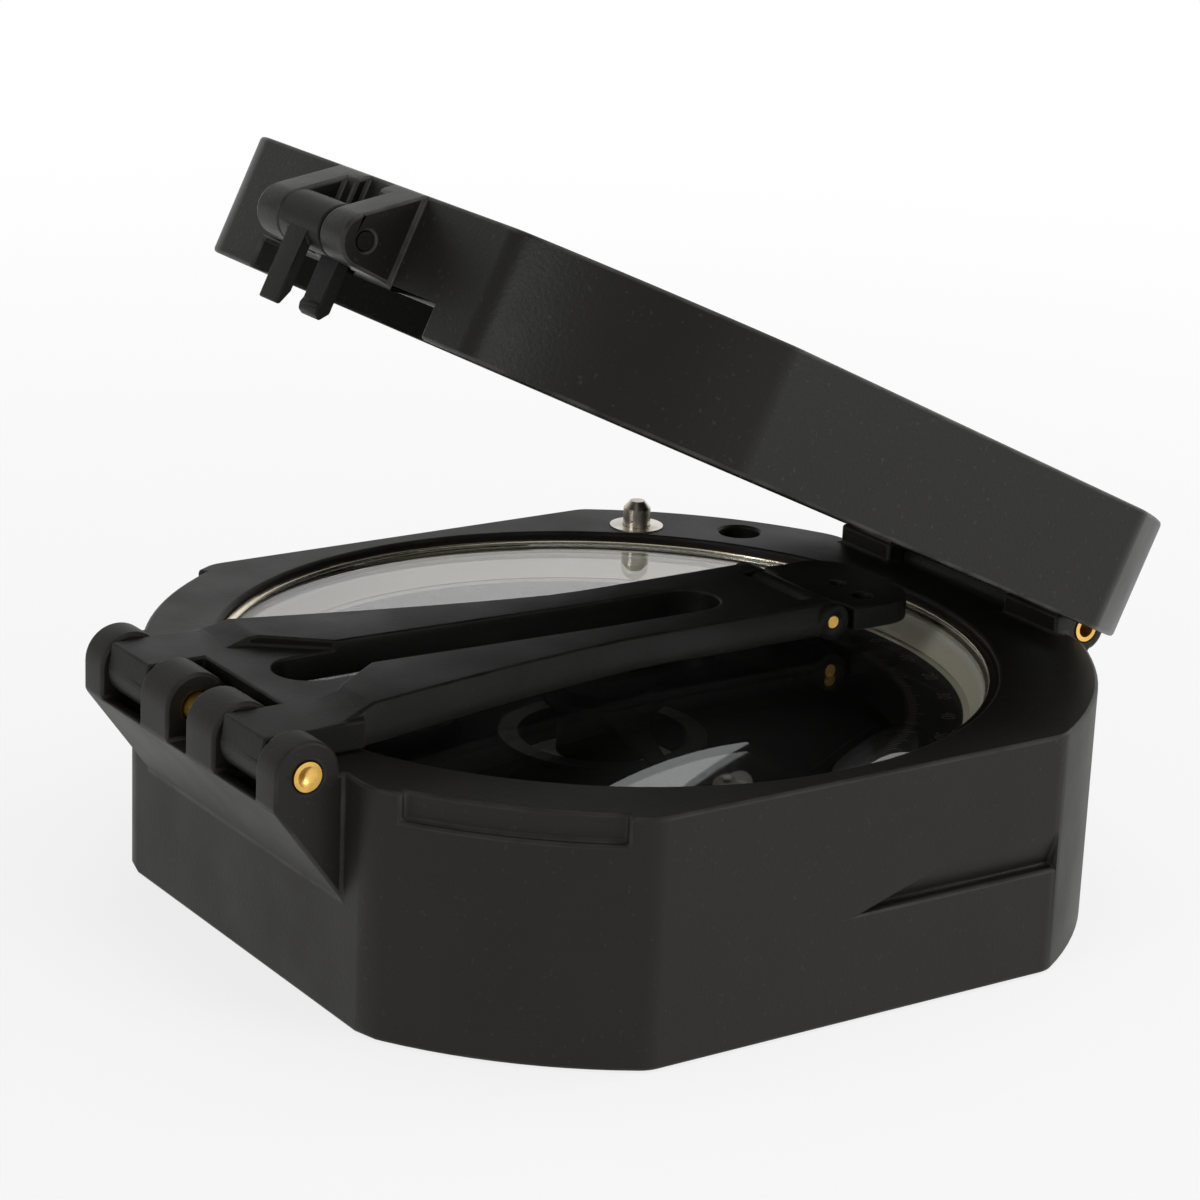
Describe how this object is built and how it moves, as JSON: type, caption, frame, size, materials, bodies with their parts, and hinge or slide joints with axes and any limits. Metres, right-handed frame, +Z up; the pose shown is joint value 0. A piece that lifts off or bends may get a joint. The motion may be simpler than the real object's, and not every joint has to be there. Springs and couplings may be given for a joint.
{
  "type": "folding sighting compass",
  "caption": "Pocket surveying compass: eight-sided plastic case, hinged mirror lid with front clip, glazed dial, slotted sighting arm with a peep leaf.",
  "frame": {"origin": "middle of the flat underside, on the axis of the dial", "axes": "+Y from the sighting-arm hinge to the lid hinge, +X to the side with the groove that shows, +Z up out of the dial"},
  "size_m": [0.072, 0.0849, 0.0635],
  "materials": {
    "black_body": "moulded, satin with fine grain",
    "black_lid": "moulded, satin with fine grain",
    "black_sight": "moulded, satin",
    "brass": "turned, slightly dull",
    "cream": "printed cream",
    "rubber": "pale, matt",
    "glass": "clear, polished",
    "champagne": "nickel plated, warm",
    "ring_black": "satin black with pale numerals",
    "grey": "dark lacquer",
    "steel": "turned",
    "mirror": "silvered glass"
  },
  "bodies": {
    "case": {"case_body": "black_body", "arm_hinge_pin": "brass", "lid_hinge_pin": "brass", "dial_wall_ring": "cream", "glass_gasket": "rubber", "dial_glass": "glass", "snap_ring": "champagne", "lever_axle": "steel", "lift_bush": "brass", "lift_spring": "steel"},
    "dial": {"graduated_ring": "ring_black"},
    "screw": {"adjusting_screw": "brass"},
    "clinometer": {"clinometer_shaft": "brass", "clinometer_lever": "steel", "clinometer_screw": "brass", "vernier_plate": "ring_black", "tube_level_body": "ring_black", "tube_level_vial": "glass", "round_level_body": "ring_black", "round_level_vial": "glass", "damping_cup": "grey", "pivot_post": "steel"},
    "plunger": {"lift_pin": "brass"},
    "lever": {"lift_lever": "brass"},
    "collar": {"lift_collar": "brass"},
    "needle": {"needle_blade": "ring_black", "needle_hub": "ring_black", "needle_jewel": "brass", "counterweight": "brass"},
    "arm": {"sighting_arm": "black_sight", "leaf_pin": "brass"},
    "leaf": {"peep_leaf": "black_sight"},
    "lid": {"lid_shell": "black_lid", "lid_mirror": "mirror", "clip_pin": "steel"},
    "clip": {"front_clip": "black_sight"}
  },
  "joints": [
    {"name": "dial_turn", "type": "hinge", "parent": "case", "child": "dial", "pos_m": [0, 0, 0.015], "axis": [0, 0, 1], "continuous": true},
    {"name": "screw_turn", "type": "hinge", "parent": "case", "child": "screw", "pos_m": [-0.02934, -0.00624, 0.01021], "axis": [-0.9781, -0.2079, 0], "continuous": true},
    {"name": "clinometer_turn", "type": "hinge", "parent": "case", "child": "clinometer", "pos_m": [0, 0, 0.003], "axis": [0, 0, 1], "range_deg": [-90, 90]},
    {"name": "lift_press", "type": "slide", "parent": "case", "child": "plunger", "axis": [0, 0, -1], "range_m": [0, 0.0015], "stiffness_N_per_m": 400, "springref_m": -0.002, "deforming": ["lift_spring"]},
    {"name": "lever_rock", "type": "hinge", "parent": "case", "child": "lever", "pos_m": [-0.01262, 0.01, 0.00545], "axis": [-0.6211, -0.7837, 0], "range_deg": [0, 4.18]},
    {"name": "collar_lift", "type": "slide", "parent": "clinometer", "child": "collar", "axis": [0, 0, 1], "range_m": [0, 0.00134]},
    {"name": "needle_swing", "type": "hinge", "parent": "collar", "child": "needle", "pos_m": [0, 0, 0.015], "axis": [0, 0, 1], "continuous": true},
    {"name": "arm_fold", "type": "hinge", "parent": "case", "child": "arm", "pos_m": [0, -0.03865, 0.0212], "axis": [1, 0, 0], "range_deg": [0, 8]},
    {"name": "leaf_fold", "type": "hinge", "parent": "arm", "child": "leaf", "pos_m": [0, 0.0193, 0.0223], "axis": [1, 0, 0], "range_deg": [0, 90]},
    {"name": "lid_fold", "type": "hinge", "parent": "case", "child": "lid", "pos_m": [0, 0.0409, 0.02105], "axis": [-1, 0, 0], "range_deg": [-25.5, 94.5]},
    {"name": "clip_fold", "type": "hinge", "parent": "lid", "child": "clip", "pos_m": [0, -0.02887, 0.06037], "axis": [-1, 0, 0], "range_deg": [0, 170]}
  ],
  "couplings": [
    {"joint": "screw_turn", "follows": "dial_turn", "ratio": -8.3333},
    {"joint": "lever_rock", "follows": "lift_press", "rad_per_m": 48.54},
    {"joint": "collar_lift", "follows": "lift_press", "ratio": 0.888}
  ]
}
